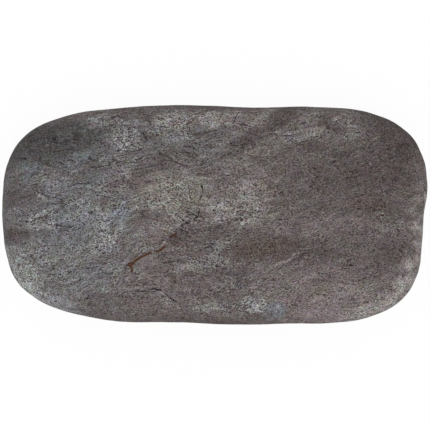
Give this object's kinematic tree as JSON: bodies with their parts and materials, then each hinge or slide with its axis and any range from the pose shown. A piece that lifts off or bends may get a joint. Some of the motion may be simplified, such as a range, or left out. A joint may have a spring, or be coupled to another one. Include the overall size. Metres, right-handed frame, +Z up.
{
  "type": "massage stone",
  "caption": "Flat rounded slab of dark grey basalt, worn smooth, warmed or chilled and then laid on the body or drawn over it in a stone massage.",
  "frame": {"origin": "middle of the resting face, under the middle of the stone's length and width", "axes": "+X along the stone, to the right in the picture; +Y across it, to the top of the picture; +Z up from the resting face"},
  "size_m": [0.15, 0.0772, 0.0221],
  "materials": {
    "basalt": "matte"
  },
  "bodies": {
    "root": {"stone": "basalt"}
  },
  "joints": []
}
